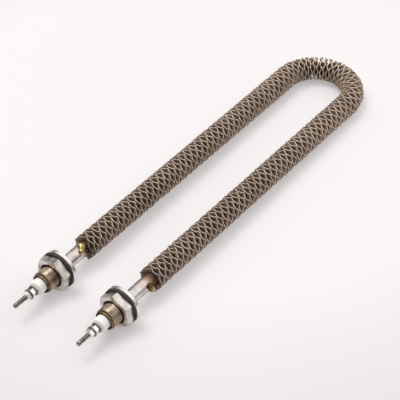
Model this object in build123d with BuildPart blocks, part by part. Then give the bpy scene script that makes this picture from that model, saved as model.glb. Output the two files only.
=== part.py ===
from build123d import *
from math import cos, pi, sin
import os

# Finned tubular heating element, bent to a U.
#
# Frame: millimetres, +Z up. The two legs lie in the XY plane and run along +Y towards the bend.
# The origin is midway between the legs, in the plane of the collars' seat faces. The terminals
# stand out along -Y. "left" is the leg at negative X.

# ---- the U ----
leg_spacing = 64.0  # between the axes of the two legs
leg_length = 306.5  # from the seat plane to the start of the bend

# ---- sheath and what it holds ----
sheath_diameter = 12.0
sheath_wall = 1.0
sheath_mouth = 14.0  # from the seat plane forwards to the sheath's open end
cold_pin_diameter = 3.0
cold_pin_reach = 50.0  # from the seat plane back to the pin's inner end
coil_grip = 6.0  # length of pin that the coil is wound on
coil_turns = 18
coil_wire = 0.6
coil_sides = 6  # straight pieces in one turn
seal_length = 5.0

# ---- crimped strip wound on edge round the sheath ----
fin_diameter = 21.0
fin_pitch = 3.685
fin_waves = 7.5  # waves of the crimped edge in one turn
fin_wave_height = 1.35  # how far the edge swings to each side
fin_foot = 0.8  # width of the strip's foot on the sheath
left_bare = 29.0  # from the seat plane to the strip
right_bare = 33.6
fin_start_angle = 63.0  # degrees up from the inner side of the leg
fin_hand = -1  # the winding turns from +Z down to the inner side
braze_drops = 4  # overlapping drops that make one bead
braze_length = 12.4
braze_width = 5.6
braze_height = 2.2
braze_lean = {"left": 41.0, "right": 52.0}  # degrees between a bead and its leg

# ---- mounting bushing with its collar, gasket and nut ----
thread_diameter = 18.0
thread_pitch_diameter = 17.0  # where the thread is engaged by the nut
bushing_reach = 21.3  # from the seat plane to the bushing's rim
lip_diameter = 16.4
lip_length = 1.9
lip_chamfer = 0.4
mouth_diameter = 14.4  # counterbore round the ceramic
collar_diameter = 32.0
collar_thickness = 4.0
collar_chamfer = 0.6
gasket_diameter = 31.6
gasket_thickness = 2.0
nut_thickness = 7.5
nut_across_flats = 27.0
nut_chamfer_angle = 30.0
nut_recess_diameter = 21.2
nut_turn = {"left": 12.0, "right": 54.0}  # degrees that each nut stopped at

# ---- terminals ----
ceramic_reach = 29.3  # from the seat plane to the ceramic's nose
ceramic_diameter = 12.6
ceramic_nose_diameter = 8.8
ceramic_shoulder = 2.6
ceramic_round = 0.8
stud_diameter = 4.0
stud_pitch_diameter = 3.5  # where the thread is engaged by its nuts
stud_free_length = 12.2
stud_point = 0.7
washer_diameter = 9.0
washer_bore = 4.3
base_washer_thickness = 1.2
clamp_washer_thickness = 1.0
small_nut_across_flats = 7.0
small_nut_thickness = 4.0
small_nut_turn = {"left": (8.0, 24.0), "right": (3.0, 14.0)}  # base nut, terminal nut

# ---- clearances ----
slip = 0.05  # radial, between a shaft and the bore that it fills
packed = 0.02  # radial, round a filling that is pressed home

# ---- worked out from the above ----
bend_radius = leg_spacing / 2
sheath_radius = sheath_diameter / 2
bore_radius = sheath_radius - sheath_wall
pin_radius = cold_pin_diameter / 2
bend_run = pi * bend_radius
path_run = 2 * leg_length + bend_run
leg_x = {"left": -bend_radius, "right": bend_radius}
seal_end = sheath_mouth - seal_length
stack_start = ceramic_reach + base_washer_thickness
base_nut_end = stack_start + small_nut_thickness
clamp_end = base_nut_end + clamp_washer_thickness
stack_end = clamp_end + small_nut_thickness
stud_reach = stack_end + stud_free_length
nut_front = gasket_thickness + nut_thickness

os.makedirs("parts", exist_ok=True)


def save(piece, name):
    """Label a finished piece and write its file."""
    piece.part.label = name
    export_step(piece.part, f"parts/{name}.step")


def leg_axis(side):
    return Axis((leg_x[side], 0, 0), (0, 1, 0))


def leg_plane(side):
    """Sketch plane through a leg's axis: X is the radius, Y runs along the leg."""
    return Plane(origin=(leg_x[side], 0, 0), x_dir=(1, 0, 0), z_dir=(0, 0, 1))


def cross_plane(side, along):
    """Sketch plane square to a leg at a place along it, facing the bend."""
    return Plane(origin=(leg_x[side], along, 0), x_dir=(0, 0, 1), z_dir=(0, 1, 0))


def turned(side, outline):
    """A solid turned about a leg's axis from its half section, as (radius, along) corners."""
    with BuildPart() as piece:
        with BuildSketch(leg_plane(side)):
            with BuildLine():
                Polyline(*outline, close=True)
            make_face()
        revolve(axis=leg_axis(side))
    return piece


def ring(side, inner, outer, start, end):
    """A plain turned ring between two places along a leg."""
    return turned(side, [(inner, start), (outer, start), (outer, end), (inner, end)])


def on_path(reach, angle, along):
    """The point at a distance from the U's centreline.

    along is measured on the centreline from the left seat plane to the right one. angle is in
    radians, from the inner side of the U towards +Z.
    """
    inward = reach * cos(angle)
    up = reach * sin(angle)
    if along < leg_length:
        return (inward - bend_radius, along, up)
    if along > leg_length + bend_run:
        return (bend_radius - inward, path_run - along, up)
    swing = (along - leg_length) / bend_radius
    radius = bend_radius - inward
    return (-radius * cos(swing), leg_length + radius * sin(swing), up)


def u_line(start_left, start_right):
    """The U's centreline as one wire, from a place on the left leg to one on the right leg."""
    with BuildLine() as path:
        Line((-bend_radius, start_left), (-bend_radius, leg_length))
        ThreePointArc(
            (-bend_radius, leg_length), (0, leg_length + bend_radius), (bend_radius, leg_length)
        )
        Line((bend_radius, leg_length), (bend_radius, start_right))
    return path


def u_rod(radius, start):
    """A round rod along the U, from one place on each leg."""
    path = u_line(start, start)
    with BuildPart() as rod:
        with BuildSketch(cross_plane("left", start)):
            Circle(radius)
        sweep(path=path.line)
    return rod


def u_tube(radius, bore, start):
    """A round tube along the U, from one place on each leg."""
    path = u_line(start, start)
    with BuildPart() as tube:
        with BuildSketch(cross_plane("left", start)):
            Circle(radius)
            Circle(bore, mode=Mode.SUBTRACT)
        sweep(path=path.line)
    return tube


def faceted(corner_sets):
    """One closed solid from flat triangles, each given by its three corners."""
    faces = [Face(Wire.make_polygon(list(corners))) for corners in corner_sets]
    with BuildPart() as piece:
        add(Solid(Shell(faces)))
    return piece


# ---- sheath ----
save(u_tube(sheath_radius, bore_radius, -sheath_mouth), "sheath_tube")

# ---- resistance coil ----
# The wire has a three-cornered section and is wound on the ends of both cold pins.
coil_inner = (pin_radius + slip) / cos(pi / coil_sides)
coil_outer = coil_inner + coil_wire
coil_start = cold_pin_reach - coil_grip
coil_run = path_run - 2 * coil_start


def coil_section(step):
    """The three corners of the wire at one step round the coil."""
    angle = 2 * pi * step / coil_sides
    along = coil_start + coil_run * step / (coil_turns * coil_sides)
    return (
        on_path(coil_inner, angle, along - coil_wire / 2),
        on_path(coil_inner, angle, along + coil_wire / 2),
        on_path(coil_outer, angle, along),
    )


def coil_triangles():
    steps = coil_turns * coil_sides
    sections = [coil_section(step) for step in range(steps + 1)]
    triangles = [sections[0], sections[-1][::-1]]
    for here, ahead in zip(sections, sections[1:]):
        for corner in range(3):
            after = (corner + 1) % 3
            triangles.append((here[after], here[corner], ahead[corner]))
            triangles.append((here[after], ahead[corner], ahead[after]))
    return triangles


save(faceted(coil_triangles()), "resistance_coil")

# ---- magnesia filling ----
# Packed powder between the coil and the sheath. It closes in on the cold pins at both ends.
channel_radius = coil_outer + packed
filling_start = -seal_end
filling = u_rod(bore_radius - packed, filling_start)
channel_path = u_line(coil_start - coil_wire, coil_start - coil_wire)
with BuildPart() as magnesia:
    add(filling.part)
    with BuildSketch(cross_plane("left", coil_start - coil_wire)):
        Circle(channel_radius)
    sweep(path=channel_path.line, mode=Mode.SUBTRACT)
    for side in leg_x:
        with BuildSketch(cross_plane(side, filling_start)):
            Circle(pin_radius + slip)
        extrude(amount=coil_start - filling_start, mode=Mode.SUBTRACT)
save(magnesia, "magnesia_filling")

# ---- crimped strip ----
# A knife-thin edge swings between crest and trough, and the foot stays straight on the sheath.
# The foot's corners are one wave apart, so they stand off far enough for the chords to clear.
foot_radius = (sheath_radius + slip) / cos(pi / fin_waves)
edge_radius = fin_diameter / 2
strip_run = path_run - left_bare - right_bare
strip_waves = round(fin_waves * strip_run / fin_pitch)
wave_run = strip_run / strip_waves
strip_start = fin_start_angle * pi / 180
waves_to_bend = round((leg_length - left_bare) / wave_run)
waves_past_bend = round((leg_length + bend_run - left_bare) / wave_run)


def strip_point(reach, wave, shift):
    """A point of the strip, wave being counted from the strip's left end."""
    return on_path(
        reach, strip_start + fin_hand * 2 * pi * wave / fin_waves, left_bare + wave * wave_run + shift
    )


def strip_triangles(first, last):
    """The strip from one whole wave to another, with both cut ends closed."""
    triangles = []
    for wave in range(first, last):
        front = strip_point(foot_radius, wave, fin_foot / 2)
        back = strip_point(foot_radius, wave, -fin_foot / 2)
        next_front = strip_point(foot_radius, wave + 1, fin_foot / 2)
        next_back = strip_point(foot_radius, wave + 1, -fin_foot / 2)
        crest = strip_point(edge_radius, wave, fin_wave_height)
        trough = strip_point(edge_radius, wave + 0.5, -fin_wave_height)
        next_crest = strip_point(edge_radius, wave + 1, fin_wave_height)
        triangles += [
            (front, crest, trough),
            (front, trough, next_front),
            (next_front, trough, next_crest),
            (back, trough, crest),
            (back, next_back, trough),
            (next_back, next_crest, trough),
            (front, next_front, next_back),
            (front, next_back, back),
        ]
        if wave == first:
            triangles.append((front, back, crest))
        if wave == last - 1:
            triangles.append((next_back, next_front, next_crest))
    return [triangle[::fin_hand] for triangle in triangles]


save(faceted(strip_triangles(0, waves_to_bend)), "fin_strip_left")
save(faceted(strip_triangles(waves_to_bend, waves_past_bend)), "fin_strip_bend")
save(faceted(strip_triangles(waves_past_bend, strip_waves)), "fin_strip_right")


# ---- brazed ends of the strip ----
def strip_braze(side, angle, along):
    """A bead of drops on the sheath, cut off along the cone that the strip's waves swing to."""
    drop_radius = braze_width / 2
    drop_place = sheath_radius + braze_height - drop_radius
    lean = braze_lean[side] * pi / 180
    with BuildPart() as bead:
        for drop in range(braze_drops):
            share = 2 * drop / (braze_drops - 1) - 1
            offset = share * (braze_length / 2 - drop_radius)
            drop_angle = angle + offset * sin(lean) / sheath_radius
            outward = cos(drop_angle) if side == "left" else -cos(drop_angle)
            drop_along = along - drop_radius + offset * cos(lean)
            drop_height = drop_place * sin(drop_angle)
            with Locations((leg_x[side] + drop_place * outward, drop_along, drop_height)):
                Sphere(drop_radius)
        with BuildSketch(cross_plane(side, along - 2 * braze_length)):
            Circle(sheath_radius + packed)
        extrude(amount=3 * braze_length, mode=Mode.SUBTRACT)
        with BuildSketch(leg_plane(side)):
            with BuildLine():
                Polyline(
                    (sheath_radius, along),
                    (fin_diameter / 2, along - fin_wave_height),
                    (fin_diameter / 2, along + braze_length),
                    (sheath_radius, along + braze_length),
                    close=True,
                )
            make_face()
        revolve(axis=leg_axis(side), mode=Mode.SUBTRACT)
    return bead


strip_end = strip_start + fin_hand * 2 * pi * strip_waves / fin_waves
foot_back = fin_foot / 2 + packed
save(strip_braze("left", strip_start, left_bare - foot_back), "strip_braze_left")
save(strip_braze("right", strip_end, right_bare - foot_back), "strip_braze_right")


# ---- bushing, collar, gasket and nut ----
def bushing(side):
    """Threaded bushing: plain lip, free thread, and the stretch that the nut is screwed on."""
    lip_end = -bushing_reach + lip_length
    thread_rise = (thread_diameter - lip_diameter) / 2
    outline = [
        (sheath_radius + slip, 0),
        (sheath_radius + slip, -sheath_mouth),
        (mouth_diameter / 2, -sheath_mouth),
        (mouth_diameter / 2, -bushing_reach),
        (lip_diameter / 2 - lip_chamfer, -bushing_reach),
        (lip_diameter / 2, -bushing_reach + lip_chamfer),
        (lip_diameter / 2, lip_end),
        (thread_diameter / 2, lip_end + thread_rise),
        (thread_diameter / 2, -nut_front),
        (thread_pitch_diameter / 2, -nut_front),
        (thread_pitch_diameter / 2, 0),
    ]
    return turned(side, outline)


def collar(side):
    """Round steel collar on the sheath, with its rim chamfered on both faces."""
    with BuildPart() as piece:
        with BuildSketch(cross_plane(side, 0)):
            Circle(collar_diameter / 2)
            Circle(sheath_radius + slip, mode=Mode.SUBTRACT)
        extrude(amount=collar_thickness)
        rims = piece.edges().filter_by(GeomType.CIRCLE).group_by(SortBy.RADIUS)[-1]
        chamfer(rims, collar_chamfer)
    return piece


def hex_nut(side, front, thickness, across_flats, bore, turn, recess=None):
    """A hexagon nut from its front face back, both faces chamfered by a turned cone.

    recess is the diameter of a countersink in the front face.
    """
    corner_radius = across_flats / 2 / cos(pi / 6)
    rise = (corner_radius - across_flats / 2) * sin(nut_chamfer_angle * pi / 180)
    flat_radius = across_flats / 2
    with BuildPart() as nut:
        with BuildSketch(cross_plane(side, front)):
            RegularPolygon(corner_radius, 6, rotation=turn)
            Circle(bore, mode=Mode.SUBTRACT)
        extrude(amount=thickness)
        with BuildSketch(leg_plane(side)):
            with BuildLine():
                Polyline(
                    (0, front),
                    (flat_radius, front),
                    (corner_radius, front + rise),
                    (corner_radius, front + thickness - rise),
                    (flat_radius, front + thickness),
                    (0, front + thickness),
                    close=True,
                )
            make_face()
        revolve(axis=leg_axis(side), mode=Mode.INTERSECT)
        if recess:
            with BuildSketch(leg_plane(side)):
                with BuildLine():
                    Polyline(
                        (0, front),
                        (recess / 2, front),
                        (bore, front + recess / 2 - bore),
                        (0, front + recess / 2 - bore),
                        close=True,
                    )
                make_face()
            revolve(axis=leg_axis(side), mode=Mode.SUBTRACT)
    return nut


# ---- terminals ----
def ceramic(side):
    """White insulator: barrel seated on the sheath's mouth, shoulder and rounded nose."""
    nose = ceramic_nose_diameter / 2
    barrel = ceramic_diameter / 2
    shoulder_end = -ceramic_reach + ceramic_shoulder
    with BuildPart() as piece:
        with BuildSketch(leg_plane(side)):
            with BuildLine():
                Polyline(
                    (nose - ceramic_round, -ceramic_reach),
                    (pin_radius + slip, -ceramic_reach),
                    (pin_radius + slip, -sheath_mouth),
                    (barrel, -sheath_mouth),
                    (barrel, shoulder_end),
                )
                RadiusArc(
                    (barrel, shoulder_end), (nose, -ceramic_reach + ceramic_round), ceramic_shoulder
                )
                Line((nose, -ceramic_reach + ceramic_round), (nose - ceramic_round, -ceramic_reach))
            make_face()
        revolve(axis=leg_axis(side))
    return piece


def terminal_pin(side):
    """Threaded stud and cold pin in one: free thread, engaged thread, plain pin."""
    outline = [
        (0, -stud_reach),
        (stud_diameter / 2 - stud_point, -stud_reach),
        (stud_diameter / 2, -stud_reach + stud_point),
        (stud_diameter / 2, -stack_end),
        (stud_pitch_diameter / 2, -stack_end),
        (stud_pitch_diameter / 2, -ceramic_reach),
        (pin_radius, -ceramic_reach),
        (pin_radius, cold_pin_reach),
        (0, cold_pin_reach),
    ]
    return turned(side, outline)


def small_nut(side, front, turn):
    bore = stud_pitch_diameter / 2 + slip
    return hex_nut(side, front, small_nut_thickness, small_nut_across_flats, bore, turn)


def washer(side, front, thickness):
    return ring(side, washer_bore / 2, washer_diameter / 2, front, front + thickness)


for side in leg_x:
    base_turn, terminal_turn = small_nut_turn[side]
    thread_bore = thread_pitch_diameter / 2 + slip
    terminal_set = {
        "collar": collar(side),
        "mounting_bushing": bushing(side),
        "gasket": ring(side, thread_bore, gasket_diameter / 2, -gasket_thickness, 0),
        "panel_nut": hex_nut(
            side,
            -nut_front,
            nut_thickness,
            nut_across_flats,
            thread_bore,
            nut_turn[side],
            recess=nut_recess_diameter,
        ),
        "end_seal": ring(
            side, pin_radius + slip, bore_radius - packed, -sheath_mouth, -seal_end
        ),
        "ceramic_insulator": ceramic(side),
        "terminal_pin": terminal_pin(side),
        "base_washer": washer(side, -stack_start, base_washer_thickness),
        "base_nut": small_nut(side, -base_nut_end, base_turn),
        "clamp_washer": washer(side, -clamp_end, clamp_washer_thickness),
        "terminal_nut": small_nut(side, -stack_end, terminal_turn),
    }
    for name, piece in terminal_set.items():
        save(piece, f"{name}_{side}")
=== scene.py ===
"""Looks of a finned tubular heating element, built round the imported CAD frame. Lengths in metres."""
import math

import bmesh
import bpy
import numpy as np
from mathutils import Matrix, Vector


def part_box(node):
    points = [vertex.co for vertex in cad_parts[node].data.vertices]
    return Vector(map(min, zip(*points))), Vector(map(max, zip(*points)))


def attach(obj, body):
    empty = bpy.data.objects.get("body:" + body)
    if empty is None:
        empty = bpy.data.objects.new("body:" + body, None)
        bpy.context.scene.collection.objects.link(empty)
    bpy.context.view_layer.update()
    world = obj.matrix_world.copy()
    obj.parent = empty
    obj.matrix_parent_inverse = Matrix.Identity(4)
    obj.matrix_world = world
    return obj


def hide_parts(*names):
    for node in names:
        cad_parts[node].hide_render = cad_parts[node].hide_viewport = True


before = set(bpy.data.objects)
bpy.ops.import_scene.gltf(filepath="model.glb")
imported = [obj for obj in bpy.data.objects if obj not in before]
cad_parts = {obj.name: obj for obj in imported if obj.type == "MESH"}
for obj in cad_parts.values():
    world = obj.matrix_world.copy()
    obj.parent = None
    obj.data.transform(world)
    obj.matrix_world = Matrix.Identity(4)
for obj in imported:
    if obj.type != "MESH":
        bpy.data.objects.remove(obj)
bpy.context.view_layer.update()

MM = 0.001
SIDES = ("left", "right")

# ---------------------------------------------------------------- the U, as on the frame
LEG_X = {side: sum((c.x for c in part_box("collar_" + side))) / 2 for side in SIDES}
BEND_RADIUS = LEG_X["right"]
LEG_LENGTH = 306.5 * MM
BEND_RUN = math.pi * BEND_RADIUS
PATH_RUN = 2 * LEG_LENGTH + BEND_RUN
SHEATH_RADIUS = 6.0 * MM
SHEATH_CLEARANCE = 0.05 * MM
LEFT_BARE = 29.0 * MM
RIGHT_BARE = 33.6 * MM

# ---------------------------------------------------------------- the crimped strip
FIN_RADIUS = 10.45 * MM
FIN_PITCH = 3.685 * MM
FIN_HAND = -1
WAVES_PER_TURN = 7.5
STRIP_START = math.radians(63.0)
STRIP_RUN = PATH_RUN - LEFT_BARE - RIGHT_BARE
STRIP_WAVES = round(WAVES_PER_TURN * STRIP_RUN / FIN_PITCH)
WAVE_RUN = STRIP_RUN / STRIP_WAVES
WAVES_TO_BEND = round((LEG_LENGTH - LEFT_BARE) / WAVE_RUN)
WAVES_PAST_BEND = round((LEG_LENGTH + BEND_RUN - LEFT_BARE) / WAVE_RUN)
WAVE_HEIGHT = 0.9 * MM
CREST_FLATNESS = 0.9
CREST_WEAR_POWER = 1.5
RIM_DIP = 0.75 * MM
STRIP_THICKNESS = 0.95 * MM
FOOT_THICKNESS_SHARE = 0.55
STRIP_SEED = 7
HEIGHT_VARIATION = 0.10
PHASE_VARIATION = 0.10
PHASE_DRIFT_WAVES = 9
LEAN_VARIATION = 0.14 * MM
RIM_WEAR = 0.22 * MM
MOST_RIM_WEAR = 0.5 * MM
# The strip darkens over its first and last turns.
END_DARK_SHARE = 0.72
END_DARK_WAVES = 10.4
END_DARK_FADE_WAVES = 8
STRIP_SMOOTH_ANGLE = 50
SAMPLES = 10
ROWS = 4

# ---------------------------------------------------------------- the braze beads
BEAD_STEPS = 36
BEAD_SIDES = 24
BEAD_SUNK = 0.3 * MM
BEAD_UNDERSIDE = -0.1
BEAD_BLUNTNESS = 2.6
BEAD_WAVER = 0.09
BEAD_WAVER_STEPS = 12
BEAD_SMOOTH_ANGLE = 80

# ---------------------------------------------------------------- the threaded pieces
LATHE_SIDES = 48
LATHE_SMOOTH_ANGLE = 35
WELD_DISTANCE = 0.0001 * MM
THREADS = {"bushing": (1.0 * MM, 0.22 * MM), "stud": (0.7 * MM, 0.3 * MM)}
THREAD_STEPS = 6
BUSHING_MOUTH_RADIUS = 7.2 * MM
BUSHING_MOUTH_FLOOR = -14.0 * MM
# Corners of the lip and the relief behind it: radius, distance from the mouth.
BUSHING_LIP = (
    (7.8 * MM, 0.0),
    (8.1 * MM, 0.15 * MM),
    (8.2 * MM, 0.4 * MM),
    (8.2 * MM, 1.9 * MM),
    (8.45 * MM, 2.0 * MM),
)
BUSHING_THREAD_START = 2.5 * MM
BUSHING_THREAD_MARGIN = 0.1 * MM
BUSHING_UNDER_NUT = 8.5 * MM
NUT_FACE = -9.5 * MM
STUD_POINT = 0.7 * MM
STUD_CORE = 1.75 * MM
COLD_PIN_RADIUS = 1.5 * MM

# ---------------------------------------------------------------- tones, linear, dark to light
COLLAR_TONES = (0.70, 0.66, 0.645), (0.86, 0.83, 0.81)
SMALL_NUT_TONES = (0.86, 0.83, 0.80), (0.96, 0.94, 0.92)
# Washers painted dark, as the shade between the nuts on the stud.
WASHER_PAINTED_SHADE_TONES = (0.12, 0.10, 0.085), (0.30, 0.26, 0.22)
STUD_TONES = (0.20, 0.165, 0.14), (0.50, 0.44, 0.40)
STUD_TARNISH = (0.16, 0.11, 0.08)
COIL_TONES = (0.30, 0.28, 0.26), (0.46, 0.43, 0.40)
NUT_TONES = (0.48, 0.435, 0.395), (0.88, 0.835, 0.79)
NUT_STAIN = (0.32, 0.26, 0.21)
# Painted shade in the nut's countersink round the bushing.
NUT_COUNTERSINK_SHADE = (0.07, 0.045, 0.03)
SHEATH_TONES = (0.50, 0.46, 0.44), (0.76, 0.72, 0.70)
# Place in the heated stretch and tint, from the bare metal to the metal under the strip.
HEAT_TINTS = (
    (0.0, (1.0, 1.0, 1.0)),
    (0.42, (0.95, 0.86, 0.80)),
    (0.60, (0.62, 0.42, 0.30)),
    (0.78, (0.26, 0.165, 0.12)),
    (1.0, (0.20, 0.13, 0.095)),
)
BARREL_TONES = (0.19, 0.133, 0.083), (0.56, 0.45, 0.34)
# Place along the lip and tone, from the mouth to the barrel: painted shade at the mouth, a painted
# golden highlight on the lip's edge, and painted shade in the relief behind the lip.
LIP_SHADE_AND_HIGHLIGHT_TONES = (
    (0.0, (0.03, 0.018, 0.012)),
    (0.18, (0.06, 0.036, 0.02)),
    (0.31, (0.46, 0.34, 0.17)),
    (0.42, (0.22, 0.15, 0.08)),
    (0.66, (0.12, 0.075, 0.04)),
    (1.0, (0.20, 0.14, 0.09)),
)
# The rim's tone stands for wear and for a painted highlight on the rim.
FIN_RIM_WEAR_AND_HIGHLIGHT_TONES = (0.42, 0.335, 0.268), (0.69, 0.585, 0.505)
FIN_FLANK_TONES = (0.42, 0.31, 0.225), (0.68, 0.53, 0.41)
# Painted shade at the strip's foot, deep between the turns.
FIN_FOOT_PAINTED_SHADE = (0.20, 0.13, 0.087)
# Painted shade on the strip: darker at the terminals, full tone at the bend.
FIN_TERMINAL_SHADE_TINTS = (0.76, 0.75, 0.74), (1.0, 1.0, 1.0)
END_DARK_TONE = (0.045, 0.03, 0.022)
BRAZE_GOLD_TONES = (0.20, 0.145, 0.055), (0.40, 0.31, 0.135), (0.78, 0.69, 0.41)
BRAZE_BROWN_TONES = (0.08, 0.05, 0.025), (0.28, 0.20, 0.085), (0.80, 0.69, 0.36)
FLUX_TONE = (0.10, 0.06, 0.025)
GASKET_TONES = (0.022, 0.014, 0.010), (0.055, 0.036, 0.027)
CERAMIC_TONES = (0.86, 0.845, 0.80), (0.93, 0.91, 0.875)
MAGNESIA_TONES = (0.78, 0.77, 0.74), (0.90, 0.89, 0.86)
SEAL_TONES = (0.30, 0.07, 0.05), (0.42, 0.11, 0.08)
PAPER_TONES = (0.795, 0.768, 0.774), (0.815, 0.788, 0.792)
# Glow of the floor in its painted pool of light, near the centre and far from it.
BACKDROP_NEAR = (0.955, 0.922, 0.932)
BACKDROP_FAR = (0.54, 0.515, 0.522)
SKY_LOW = (0.09, 0.085, 0.08)
SKY_HIGH = (1.0, 0.99, 0.985)

# ---------------------------------------------------------------- where the tones change
NOISE_LOW, NOISE_HIGH = 0.3, 0.7
LEAST_GLOSS, MOST_GLOSS = 1.25, 0.8
HEAT_START, HEAT_END = 15 * MM, 36 * MM
HEAT_WANDER = 6 * MM
LIP_START, LIP_END = -21.4 * MM, -19.0 * MM
BARREL_START, BARREL_FULL = -19.1 * MM, -18.7 * MM
# Painted shade on the nut fades out between these radii from the bushing's axis.
NUT_SHADE_RADIUS, NUT_SHADE_END_RADIUS = 10.3 * MM, 11.2 * MM
# Shares of the strip's height, and of a crest's: painted shade fades from the foot up the flanks, and
# the rim's tone, worn and a painted highlight, comes in on the crests.
FLANK_START, FLANK_FULL = 0.18, 0.66
RIM_START, RIM_FULL = 0.72, 0.97
CREST_START, CREST_FULL = 0.15, 0.8
RIM_WEAR_OFF_CREST = 0.12
# Shares of a bead's height, less the share that shines.
CROWN_START, CROWN_FULL = 0.85, 1.15

# ---------------------------------------------------------------- floor, light and camera
COLLAR_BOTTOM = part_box("collar_left")[0].z
COLLAR_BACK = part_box("collar_left")[1].y
BEND_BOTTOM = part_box("fin_strip_bend")[0].z
FLOOR_SLOPE = math.atan2(BEND_BOTTOM - COLLAR_BOTTOM, LEG_LENGTH + BEND_RADIUS - COLLAR_BACK)
FLOOR_SIZE = 12.0
BACKDROP_SHARE = 0.38
# Centre, edge and end of the painted pool of light on the floor.
LIGHT_POOL_CENTRE = (-0.067, 0.225, 0.0)
LIGHT_POOL_EDGE, LIGHT_POOL_END = 0.22, 0.385
SKY_CENTRE = (0.1, 0.35, 0.93)
SKY_STRENGTH = 1.2
SKY_LOW_FACING, SKY_HIGH_FACING = 0.27, 0.84
# Name, strength, angular width in degrees and heading of each lamp.
LAMPS = (
    ("key", 1.3, 30, (0.38, 0.12, -1.0)),
    ("side", 0.4, 35, (0.9, 0.05, -0.42)),
)
AZIMUTH = math.radians(-37.785)
ELEVATION = math.radians(42.643)
CAMERA_TARGET = Vector((6.447, 131.18, 0)) * MM
CAMERA_DISTANCE = 1368.1 * MM
FOCAL_PIXELS = 1667.27
IMAGE_PIXELS = 400
SENSOR_WIDTH = 36


# ---------------------------------------------------------------- materials
class Nodes:
    """Short names for adding nodes to one tree."""

    def __init__(self, tree):
        self.tree = tree

    def add(self, kind, **inputs):
        node = self.tree.nodes.new(kind)
        for key, value in inputs.items():
            self.join(value, node.inputs[key.replace("_", " ")])
        return node

    def join(self, value, socket):
        if isinstance(value, bpy.types.NodeSocket):
            self.tree.links.new(value, socket)
        else:
            socket.default_value = value

    def operate(self, kind, operation, *values):
        node = self.tree.nodes.new(kind)
        node.operation = operation
        for value, socket in zip(values, node.inputs):
            self.join(value, socket)
        return node.outputs["Value"]

    def math(self, operation, *values):
        return self.operate("ShaderNodeMath", operation, *values)

    def vector_math(self, operation, *vectors):
        return self.operate("ShaderNodeVectorMath", operation, *vectors)

    def ramp(self, value, *stops):
        node = self.add("ShaderNodeValToRGB", Fac=value)
        elements = node.color_ramp.elements
        while len(elements) < len(stops):
            elements.new(0.5)
        for element, (place, colour) in zip(elements, stops):
            element.position = place
            element.color = (*colour, 1)
        return node.outputs["Color"]

    def spread(self, value, low, high, start=NOISE_LOW, end=NOISE_HIGH):
        """Low where value is start or less, high where it is end or more."""
        node = self.add("ShaderNodeMapRange", Value=value)
        node.inputs["From Min"].default_value = start
        node.inputs["From Max"].default_value = end
        node.inputs["To Min"].default_value = low
        node.inputs["To Max"].default_value = high
        return node.outputs["Result"]

    def share(self, value, start, end):
        """How far value has come from start to end, from 0 to 1."""
        return self.spread(value, 0.0, 1.0, start, end)

    def tones(self, noise, dark, light):
        return self.ramp(self.spread(noise, 0.0, 1.0), (0.0, dark), (1.0, light))

    def mix(self, factor, one, other, blend="MIX"):
        node = self.tree.nodes.new("ShaderNodeMix")
        node.data_type = "RGBA"
        node.blend_type = blend
        self.join(factor, node.inputs["Factor"])
        self.join(one if not isinstance(one, tuple) else (*one, 1), node.inputs["A"])
        self.join(other if not isinstance(other, tuple) else (*other, 1), node.inputs["B"])
        return node.outputs["Result"]


class Surface(Nodes):
    """A material with its Principled shader, and the place on the object."""

    def __init__(self, name):
        self.material = bpy.data.materials.new(name)
        self.material.use_nodes = True
        super().__init__(self.material.node_tree)
        self.shader = self.tree.nodes["Principled BSDF"]
        self.place = self.add("ShaderNodeTexCoord").outputs["Object"]

    def axes(self):
        return self.add("ShaderNodeSeparateXYZ", Vector=self.place).outputs

    def attribute(self, name):
        node = self.add("ShaderNodeAttribute")
        node.attribute_name = name
        return node.outputs["Fac"]

    def noise(self, scale, detail, stretch=(1, 1, 1)):
        mapping = self.add("ShaderNodeMapping", Vector=self.place, Scale=stretch)
        vector = mapping.outputs["Vector"]
        return self.add("ShaderNodeTexNoise", Vector=vector, Scale=scale, Detail=detail).outputs["Fac"]

    def bump(self, height, depth):
        node = self.add("ShaderNodeBump", Height=height, Distance=depth)
        self.join(node.outputs["Normal"], self.shader.inputs["Normal"])

    def finish(self, colour, roughness, metallic=0.0, **fixed):
        self.join(colour, self.shader.inputs["Base Color"])
        self.join(roughness, self.shader.inputs["Roughness"])
        self.shader.inputs["Metallic"].default_value = metallic
        for key, value in fixed.items():
            self.shader.inputs[key.replace("_", " ")].default_value = value
        return self.material


def turned_metal(name, tones, rough, tarnish=None):
    """Metal turned or drawn: fine lines, clouds of colour and gloss, and tarnish in patches."""
    n = Surface(name)
    lines = n.noise(scale=1.0, detail=3, stretch=(30, 600, 30))
    clouds = n.noise(scale=180, detail=4)
    colour = n.tones(clouds, *tones)
    if tarnish:
        patches = n.noise(scale=95, detail=5)
        colour = n.mix(n.spread(patches, low=0.0, high=0.8, start=0.52, end=0.68), colour, tarnish)
    n.bump(lines, depth=0.004 * MM)
    roughness = n.spread(clouds, rough * MOST_GLOSS, rough * LEAST_GLOSS)
    return n.finish(colour, roughness, metallic=1.0)


def sheath_steel():
    """Drawn tube: clean by the collars, straw and brown from brazing, then dark under the strip."""
    n = Surface("sheath_steel")
    axes = n.axes()
    right_leg = n.math("GREATER_THAN", axes["X"], 0.0)
    from_collar = n.math("MULTIPLY_ADD", right_leg, LEFT_BARE - RIGHT_BARE, axes["Y"])
    wandering = n.math("MULTIPLY_ADD", n.noise(scale=140, detail=3), HEAT_WANDER, from_collar)
    heat = n.share(wandering, HEAT_START, HEAT_END)
    clean = n.tones(n.noise(scale=180, detail=4), *SHEATH_TONES)
    drawn_lines = n.noise(scale=1.0, detail=3, stretch=(500, 12, 500))
    n.bump(drawn_lines, depth=0.004 * MM)
    roughness = n.spread(heat, low=0.2, high=0.6, start=0.5, end=0.9)
    colour = n.mix(1.0, clean, n.ramp(heat, *HEAT_TINTS), "MULTIPLY")
    return n.finish(colour, roughness, metallic=0.9)


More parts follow.
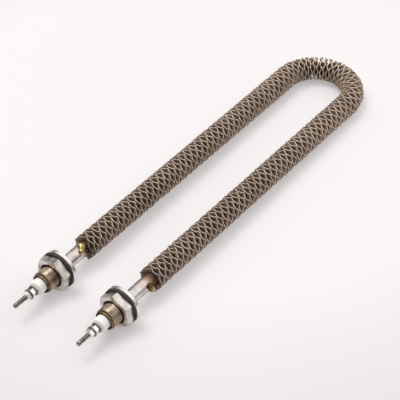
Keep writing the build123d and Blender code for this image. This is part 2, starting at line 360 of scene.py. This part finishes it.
def bronze():
    """Tarnished bronze: brown barrel, a painted golden highlight on the lip's edge, and painted shade
    round the mouth and in the relief behind the lip.
    """
    n = Surface("bushing_bronze")
    along = n.axes()["Y"]
    clouds = n.noise(scale=130, detail=5)
    barrel = n.tones(clouds, *BARREL_TONES)
    # Painted shade at the mouth and in the relief, and a painted highlight on the lip's edge.
    lip = n.ramp(n.share(along, LIP_START, LIP_END), *LIP_SHADE_AND_HIGHLIGHT_TONES)
    colour = n.mix(n.share(along, BARREL_START, BARREL_FULL), lip, barrel)
    n.bump(n.noise(scale=500, detail=3), depth=0.012 * MM)
    roughness = n.spread(clouds, low=0.24, high=0.4)
    return n.finish(colour, roughness, metallic=1.0)


def nut_steel():
    """Plated nut, worn and stained, with painted shade in the countersink round the bushing."""
    n = Surface("nut_steel")
    axes = n.axes()
    sideways = n.math("SUBTRACT", n.math("ABSOLUTE", axes["X"]), BEND_RADIUS)
    from_axis = n.add("ShaderNodeCombineXYZ", X=sideways, Y=axes["Z"]).outputs["Vector"]
    radius = n.vector_math("LENGTH", from_axis)
    clouds = n.noise(scale=180, detail=5)
    stains = n.spread(n.noise(scale=110, detail=5), low=0.0, high=0.8, start=0.5, end=0.66)
    plate = n.mix(stains, n.tones(clouds, *NUT_TONES), NUT_STAIN)
    # Painted shade darkens the countersink round the bushing.
    colour = n.mix(n.share(radius, NUT_SHADE_RADIUS, NUT_SHADE_END_RADIUS), NUT_COUNTERSINK_SHADE, plate)
    n.bump(n.noise(scale=260, detail=3), depth=0.09 * MM)
    roughness = n.spread(clouds, low=0.26, high=0.42)
    return n.finish(colour, roughness, metallic=1.0)


def fin_steel():
    """Crimped strip: pale rim, worn and with a painted highlight, brown oxidised flanks, painted shade
    darkening to the foot and towards the terminals, and darker over the end turns.
    """
    n = Surface("fin_steel")
    reach = n.attribute("reach")
    clouds = n.noise(scale=260, detail=5)
    flank = n.tones(n.noise(scale=45, detail=3), *FIN_FLANK_TONES)
    # Painted shade darkens the strip towards its foot.
    colour = n.mix(n.share(reach, FLANK_START, FLANK_FULL), FIN_FOOT_PAINTED_SHADE, flank)
    crest = n.attribute("crest")
    on_crest = n.spread(crest, RIM_WEAR_OFF_CREST, 1.0, CREST_START, CREST_FULL)
    on_rim = n.math("MULTIPLY", n.share(reach, RIM_START, RIM_FULL), on_crest)
    # The rim's tone: wear on the crests, and a painted highlight.
    colour = n.mix(on_rim, colour, n.tones(clouds, *FIN_RIM_WEAR_AND_HIGHLIGHT_TONES))
    at_terminals, at_bend = FIN_TERMINAL_SHADE_TINTS
    to_bend = n.share(n.axes()["Y"], 0.0, LEG_LENGTH)
    # Painted shade, darker towards the terminals.
    terminal_shade = n.ramp(to_bend, (0.0, at_terminals), (1.0, at_bend))
    colour = n.mix(1.0, colour, terminal_shade, "MULTIPLY")
    # Darker over the end turns of the strip.
    colour = n.mix(n.attribute("end_darkening"), colour, END_DARK_TONE)
    n.bump(n.noise(scale=900, detail=2), depth=0.01 * MM)
    roughness = n.spread(clouds, low=0.42, high=0.6)
    return n.finish(colour, roughness, metallic=0.3)


def braze(name, tones, bare):
    """Brass filler with brown flux at its edges; bare is how much of it shines."""
    n = Surface(name)
    clouds = n.noise(scale=75, detail=1)
    dark, middle, bright = tones
    metal = n.ramp(n.spread(clouds, 0.0, 1.0), (0.0, dark), (0.5, middle), (1.0, bright))
    clear = n.share(n.attribute("crown"), CROWN_START - bare, CROWN_FULL - bare)
    n.bump(n.noise(scale=300, detail=1), depth=0.012 * MM)
    roughness = n.spread(clouds, low=0.26, high=0.36)
    return n.finish(n.mix(clear, FLUX_TONE, metal), roughness, metallic=1.0)


def gasket_fibre():
    """Pressed dark fibre."""
    n = Surface("gasket_fibre")
    clouds = n.noise(scale=500, detail=5)
    n.bump(clouds, depth=0.04 * MM)
    roughness = n.spread(clouds, low=0.55, high=0.75)
    return n.finish(n.tones(clouds, *GASKET_TONES), roughness)


def glazed_ceramic():
    """White ceramic with a thin glaze."""
    n = Surface("glazed_ceramic")
    clouds = n.noise(scale=90, detail=3)
    n.bump(n.noise(scale=700, detail=2), depth=0.008 * MM)
    colour = n.tones(clouds, *CERAMIC_TONES)
    roughness = n.spread(clouds, low=0.22, high=0.34)
    return n.finish(colour, roughness, Coat_Weight=0.3, Coat_Roughness=0.1)


def powder(name, tones):
    """A dull grainy mass."""
    n = Surface(name)
    clouds = n.noise(scale=800, detail=5)
    n.bump(clouds, depth=0.03 * MM)
    return n.finish(n.tones(clouds, *tones), roughness=0.8)


SMALL_NUT = turned_metal("small_nut_steel", SMALL_NUT_TONES, rough=0.2)
# Washers painted dark: painted shade between the nuts.
WASHER = turned_metal("washer_steel", WASHER_PAINTED_SHADE_TONES, rough=0.32)
STUD = turned_metal("stud_steel", STUD_TONES, rough=0.26, tarnish=STUD_TARNISH)
BRONZE = bronze()
FIN = fin_steel()
BRAZE_GOLD = braze("braze_gold", BRAZE_GOLD_TONES, bare=0.5)
BRAZE_BROWN = braze("braze_brown", BRAZE_BROWN_TONES, bare=0.2)

SIDE_MATERIALS = {
    "collar": turned_metal("collar_steel", COLLAR_TONES, rough=0.24),
    "mounting_bushing": BRONZE,
    "gasket": gasket_fibre(),
    "panel_nut": nut_steel(),
    "end_seal": powder("seal_rubber", SEAL_TONES),
    "ceramic_insulator": glazed_ceramic(),
    "terminal_pin": STUD,
    "base_washer": WASHER,
    "base_nut": SMALL_NUT,
    "clamp_washer": WASHER,
    "terminal_nut": SMALL_NUT,
}
CAD_MATERIALS = {f"{part}_{side}": SIDE_MATERIALS[part] for part in SIDE_MATERIALS for side in SIDES}
CAD_MATERIALS["sheath_tube"] = sheath_steel()
CAD_MATERIALS["resistance_coil"] = turned_metal("coil_wire", COIL_TONES, rough=0.3)
CAD_MATERIALS["magnesia_filling"] = powder("magnesia", MAGNESIA_TONES)
CAD_MATERIALS["strip_braze_left"] = BRAZE_GOLD
CAD_MATERIALS["strip_braze_right"] = BRAZE_BROWN
for node, material in CAD_MATERIALS.items():
    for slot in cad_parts[node].material_slots:
        slot.material = material


# ---------------------------------------------------------------- shared by the pieces
def on_path(reach, angle, along):
    """Points at a distance from the U's centreline, as arrays; angle from the inner side to +Z."""
    inward = reach * np.cos(angle)
    up = reach * np.sin(angle)
    swing = np.clip((along - LEG_LENGTH) / BEND_RADIUS, 0, math.pi)
    radius = BEND_RADIUS - inward
    x = -radius * np.cos(swing)
    past_left_leg = np.where(
        along > LEG_LENGTH + BEND_RUN, PATH_RUN - along, LEG_LENGTH + radius * np.sin(swing)
    )
    y = np.where(along < LEG_LENGTH, along, past_left_leg)
    return np.stack([x, y, up], -1)


def smooth_random(count, step, rng):
    """A slowly changing random value for each of count samples."""
    knots = rng.normal(size=count // step + 3)
    return np.interp(np.arange(count) / step, np.arange(len(knots)), knots)


def tube_faces(rows, order):
    """Quads along rows of points, with order as the way round each row, and the two end faces."""
    columns = len(order)
    base = np.arange(rows - 1)[:, None] * columns
    quads = [
        np.concatenate([base + here, base + ahead, base + ahead + columns, base + here + columns], 1)
        for here, ahead in zip(order, order[1:] + order[:1])
    ]
    faces = np.concatenate(quads).tolist()
    faces.append(order[::-1])
    faces.append([(rows - 1) * columns + k for k in order])
    return faces


def add_piece(name, points, faces, material, node, smooth_angle, values):
    """A mesh piece that stands for a CAD node, with one value a point for each named attribute."""
    mesh = bpy.data.meshes.new(name)
    mesh.from_pydata(points.reshape(-1, 3), [], faces)
    for key, value in values.items():
        layer = mesh.attributes.new(key, "FLOAT", "POINT")
        layer.data.foreach_set("value", value.reshape(-1).astype(np.float32))
    mesh.polygons.foreach_set("use_smooth", [True] * len(mesh.polygons))
    mesh.set_sharp_from_angle(angle=math.radians(smooth_angle))
    mesh.materials.append(material)
    piece = bpy.data.objects.new(name, mesh)
    bpy.context.scene.collection.objects.link(piece)
    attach(piece, "root")
    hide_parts(node)
    return piece


# ---------------------------------------------------------------- crimped strip
def crimped_strip(name, node, first, last):
    """The strip between two waves of the winding, its rim swinging from side to side."""
    all_steps = STRIP_WAVES * SAMPLES + 1
    rng = np.random.default_rng(STRIP_SEED)
    height = 1 + HEIGHT_VARIATION * smooth_random(all_steps, SAMPLES, rng)
    drift = PHASE_VARIATION * smooth_random(all_steps, SAMPLES * PHASE_DRIFT_WAVES, rng)
    lean = LEAN_VARIATION * smooth_random(all_steps, SAMPLES, rng)
    worn_down = RIM_WEAR * np.abs(smooth_random(all_steps, SAMPLES, rng))

    steps = np.arange(first * SAMPLES, last * SAMPLES + 1)
    wave = steps / SAMPLES
    angle = STRIP_START + FIN_HAND * 2 * math.pi * wave / WAVES_PER_TURN
    along = LEFT_BARE + wave * WAVE_RUN
    phase = 2 * math.pi * wave + drift[steps]
    steepness = np.abs(np.cos(phase))
    wave_shape = np.sign(np.cos(phase)) * steepness**CREST_FLATNESS
    swing = WAVE_HEIGHT * height[steps]
    foot = SHEATH_RADIUS + SHEATH_CLEARANCE
    rim = FIN_RADIUS - np.minimum(worn_down[steps], MOST_RIM_WEAR) - RIM_DIP * (1 - steepness)

    rings = []
    for side in (-1, 1):
        for row in range(ROWS):
            share = row / (ROWS - 1)
            reach = foot + (rim - foot) * share
            slope = swing * share * WAVES_PER_TURN / reach * np.sin(phase)
            thickness = STRIP_THICKNESS * (FOOT_THICKNESS_SHARE + (1 - FOOT_THICKNESS_SHARE) * share)
            half = side * thickness / 2 * np.sqrt(1 + slope**2)
            offset = swing * share * wave_shape + lean[steps] * share
            rings.append(on_path(reach, angle, along + offset + half))
    order = list(range(ROWS)) + list(range(2 * ROWS - 1, ROWS - 1, -1))
    faces = [face[::FIN_HAND] for face in tube_faces(len(steps), order)]

    from_end = np.minimum(wave, STRIP_WAVES - wave)
    # Darker over the first and last turns of the strip.
    end_darkening = END_DARK_SHARE * np.clip((END_DARK_WAVES - from_end) / END_DARK_FADE_WAVES, 0, 1)
    values = {
        "reach": np.tile(np.linspace(0, 1, ROWS), 2 * len(steps)),
        "crest": np.repeat(steepness**CREST_WEAR_POWER, 2 * ROWS),
        "end_darkening": np.repeat(end_darkening, 2 * ROWS),
    }
    points = np.stack(rings, 1)
    add_piece(name, points, faces, FIN, node, STRIP_SMOOTH_ANGLE, values)


crimped_strip("crimped_strip_left", "fin_strip_left", 0, WAVES_TO_BEND)
crimped_strip("crimped_strip_bend", "fin_strip_bend", WAVES_TO_BEND, WAVES_PAST_BEND)
crimped_strip("crimped_strip_right", "fin_strip_right", WAVES_PAST_BEND, STRIP_WAVES)


# ---------------------------------------------------------------- braze beads
def bead(name, node, material, start, end, half_width, height, seed):
    """A run of filler on the sheath between two (angle, along) places, uneven in width."""
    rng = np.random.default_rng(seed)
    waver = 1 + BEAD_WAVER * smooth_random(BEAD_STEPS + 1, BEAD_WAVER_STEPS, rng)[:, None]
    place = np.linspace(0, 1, BEAD_STEPS + 1)[:, None]
    around = np.linspace(0, 2 * math.pi, BEAD_SIDES, endpoint=False)[None, :]
    angle_run = (end[0] - start[0]) * SHEATH_RADIUS
    along_run = end[1] - start[1]
    length = math.hypot(angle_run, along_run)
    fill = waver * np.sqrt(np.clip(1 - np.abs(2 * place - 1) ** BEAD_BLUNTNESS, 0, 1))
    across = half_width * fill * np.cos(around)
    lift = (height + BEAD_SUNK) * fill * np.maximum(np.sin(around), BEAD_UNDERSIDE)
    reach = SHEATH_RADIUS - BEAD_SUNK + lift
    angle = start[0] + place * (end[0] - start[0]) - across * along_run / length / SHEATH_RADIUS
    along = start[1] + place * along_run + across * angle_run / length
    points = on_path(reach, angle, along)
    faces = tube_faces(BEAD_STEPS + 1, list(range(BEAD_SIDES)))
    values = {"crown": np.sin(around) * np.ones_like(place)}
    add_piece(name, points, faces, material, node, BEAD_SMOOTH_ANGLE, values)


bead(
    "braze_bead_left",
    "strip_braze_left",
    BRAZE_GOLD,
    start=(math.radians(28), 20.6 * MM),
    end=(math.radians(100), 29.4 * MM),
    half_width=3.7 * MM,
    height=2.9 * MM,
    seed=3,
)
bead(
    "braze_bead_right",
    "strip_braze_right",
    BRAZE_BROWN,
    start=(math.radians(133), PATH_RUN - 25.4 * MM),
    end=(math.radians(234), PATH_RUN - 32.6 * MM),
    half_width=3.5 * MM,
    height=3.1 * MM,
    seed=5,
)


# ---------------------------------------------------------------- threaded pieces
def lathe_rows(outline, first, last, pitch):
    """Rows of (radius, along, threaded), finer on the wall between the places first and last."""
    rows = []
    for (r0, y0), (r1, y1) in zip(outline, outline[1:] + outline[:1]):
        threaded = r0 == r1 and min(y0, y1) <= first and max(y0, y1) >= last
        pieces = max(1, round(abs(y1 - y0) / (pitch / THREAD_STEPS))) if threaded else 1
        for k in range(pieces):
            share = k / pieces
            rows.append((r0 + (r1 - r0) * share, y0 + (y1 - y0) * share, threaded))
    return rows


def lathe(name, node, side, outline, first, last, thread, material):
    """A piece turned about a leg from (radius, along) corners, closed on itself.

    Between the places first and last a helical groove cuts the outer wall and fades at both ends.
    """
    pitch, depth = THREADS[thread]
    rows = lathe_rows(outline, first, last, pitch)
    around = np.linspace(0, 2 * math.pi, LATHE_SIDES, endpoint=False)
    points = np.zeros((len(rows), LATHE_SIDES, 3))
    for k, (radius, along, threaded) in enumerate(rows):
        reach = np.full(LATHE_SIDES, radius)
        if threaded:
            turn = (along / pitch - around / (2 * math.pi)) % 1
            fade = min(1, max(0, (along - first) / pitch), max(0, (last - along) / pitch))
            reach -= depth * fade * (1 - np.abs(2 * turn - 1))
        points[k, :, 0] = LEG_X[side] + reach * np.cos(around)
        points[k, :, 1] = along
        points[k, :, 2] = reach * np.sin(around)
    faces = []
    for k in range(len(rows)):
        ahead = (k + 1) % len(rows)
        on_axis = rows[k][0] == 0 and rows[ahead][0] == 0
        if on_axis:
            continue
        here, there = k * LATHE_SIDES, ahead * LATHE_SIDES
        for j in range(LATHE_SIDES):
            after = (j + 1) % LATHE_SIDES
            faces.append((here + j, there + j, there + after, here + after))
    piece = add_piece(name, points, faces, material, node, LATHE_SMOOTH_ANGLE, {})
    shape = bmesh.new()
    shape.from_mesh(piece.data)
    bmesh.ops.remove_doubles(shape, verts=shape.verts, dist=WELD_DISTANCE)
    bmesh.ops.recalc_face_normals(shape, faces=shape.faces)
    shape.to_mesh(piece.data)
    shape.free()


def threaded_bushing(side):
    """The bushing of its node, with the thread cut between the nut and the lip."""
    name, node = "threaded_bushing_" + side, "mounting_bushing_" + side
    low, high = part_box("mounting_bushing_" + side)
    mouth = low.y
    radius = (high.x - low.x) / 2
    bore = SHEATH_RADIUS + SHEATH_CLEARANCE
    thread_start = mouth + BUSHING_THREAD_START
    outline = [
        (bore, 0.0),
        (bore, BUSHING_MOUTH_FLOOR),
        (BUSHING_MOUTH_RADIUS, BUSHING_MOUTH_FLOOR),
        (BUSHING_MOUTH_RADIUS, mouth),
        *((reach, mouth + depth) for reach, depth in BUSHING_LIP),
        (radius, thread_start),
        (radius, NUT_FACE),
        (BUSHING_UNDER_NUT, NUT_FACE),
        (BUSHING_UNDER_NUT, 0.0),
    ]
    first = thread_start + BUSHING_THREAD_MARGIN
    last = NUT_FACE - BUSHING_THREAD_MARGIN
    lathe(name, node, side, outline, first, last, "bushing", BRONZE)


def threaded_stud(side):
    """The pin of its node: thin inside the sheath, threaded where it stands out of the nuts."""
    name, node = "threaded_stud_" + side, "terminal_pin_" + side
    low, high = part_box("terminal_pin_" + side)
    radius = (high.x - low.x) / 2
    nut_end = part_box("terminal_nut_" + side)[0].y
    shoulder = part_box("ceramic_insulator_" + side)[0].y
    point_end = low.y + STUD_POINT
    outline = [
        (0.0, high.y),
        (0.0, low.y),
        (radius - STUD_POINT, low.y),
        (radius, point_end),
        (radius, nut_end),
        (STUD_CORE, nut_end),
        (STUD_CORE, shoulder),
        (COLD_PIN_RADIUS, shoulder),
        (COLD_PIN_RADIUS, high.y),
    ]
    lathe(name, node, side, outline, point_end, nut_end, "stud", STUD)


for side in SIDES:
    threaded_bushing(side)
    threaded_stud(side)


# ---------------------------------------------------------------- floor, light and camera
def floor_material():
    """Pale paper; what is seen of it straight or in a reflection glows in part, as a backdrop, in a
    painted pool of light that dims away from its centre.
    """
    n = Surface("floor_paper")
    dark, light_tone = PAPER_TONES
    colour = n.ramp(n.noise(scale=3, detail=2), (NOISE_LOW, dark), (NOISE_HIGH, light_tone))
    n.finish(colour, roughness=0.9, Specular_IOR_Level=0.2)
    # The painted pool of light: the glow dims away from its centre.
    from_light_pool = n.share(n.vector_math("DISTANCE", n.place, LIGHT_POOL_CENTRE), LIGHT_POOL_EDGE, LIGHT_POOL_END)
    tone = n.ramp(from_light_pool, (0.0, BACKDROP_NEAR), (1.0, BACKDROP_FAR))
    glow = n.add("ShaderNodeEmission", Color=tone).outputs[0]
    rays = n.add("ShaderNodeLightPath").outputs
    seen = rays["Is Camera Ray"]
    for kind in ("Is Glossy Ray", "Is Transmission Ray"):
        seen = n.math("MAXIMUM", seen, rays[kind])
    blend = n.tree.nodes.new("ShaderNodeMixShader")
    n.join(n.math("MULTIPLY", seen, BACKDROP_SHARE), blend.inputs[0])
    n.join(n.shader.outputs[0], blend.inputs[1])
    n.join(glow, blend.inputs[2])
    n.join(blend.outputs[0], n.tree.nodes["Material Output"].inputs["Surface"])
    return n.material


def floor():
    """A large plane under the collars and the bend, on which the element rests."""
    half = FLOOR_SIZE / 2
    corners = [(-half, -half, 0), (half, -half, 0), (half, half, 0), (-half, half, 0)]
    mesh = bpy.data.meshes.new("floor")
    mesh.from_pydata(corners, [], [(0, 1, 2, 3)])
    mesh.materials.append(floor_material())
    piece = bpy.data.objects.new("floor", mesh)
    piece.location = (0, COLLAR_BACK, COLLAR_BOTTOM)
    piece.rotation_euler = (FLOOR_SLOPE, 0, 0)
    bpy.context.scene.collection.objects.link(piece)


def light():
    """A soft sky, brightest overhead towards the bend, and two wide lamps."""
    world = bpy.data.worlds.new("studio")
    bpy.context.scene.world = world
    world.use_nodes = True
    n = Nodes(world.node_tree)
    direction = n.add("ShaderNodeTexCoord").outputs["Generated"]
    facing = n.vector_math("DOT_PRODUCT", direction, SKY_CENTRE)
    sky = n.ramp(facing, (SKY_LOW_FACING, SKY_LOW), (SKY_HIGH_FACING, SKY_HIGH))
    background = n.tree.nodes["Background"]
    n.join(sky, background.inputs["Color"])
    background.inputs["Strength"].default_value = SKY_STRENGTH

    for name, energy, width, heading in LAMPS:
        sun = bpy.data.lights.new(name, "SUN")
        sun.energy = energy
        sun.angle = math.radians(width)
        lamp = bpy.data.objects.new(name, sun)
        lamp.rotation_euler = Vector(heading).to_track_quat("-Z", "Y").to_euler()
        bpy.context.scene.collection.objects.link(lamp)


def camera():
    """The photograph's view, as fitted to the outlines of legs, bend and terminals."""
    view = Vector(
        (
            math.sin(AZIMUTH) * math.cos(ELEVATION),
            math.cos(AZIMUTH) * math.cos(ELEVATION),
            -math.sin(ELEVATION),
        )
    )
    data = bpy.data.cameras.new("camera")
    data.lens = FOCAL_PIXELS * SENSOR_WIDTH / IMAGE_PIXELS
    data.sensor_width = SENSOR_WIDTH
    eye = bpy.data.objects.new("camera", data)
    eye.location = CAMERA_TARGET - view * CAMERA_DISTANCE
    eye.rotation_euler = view.to_track_quat("-Z", "Y").to_euler()
    bpy.context.scene.collection.objects.link(eye)
    bpy.context.scene.camera = eye


floor()
light()
camera()
bpy.context.scene.view_settings.view_transform = "Standard"
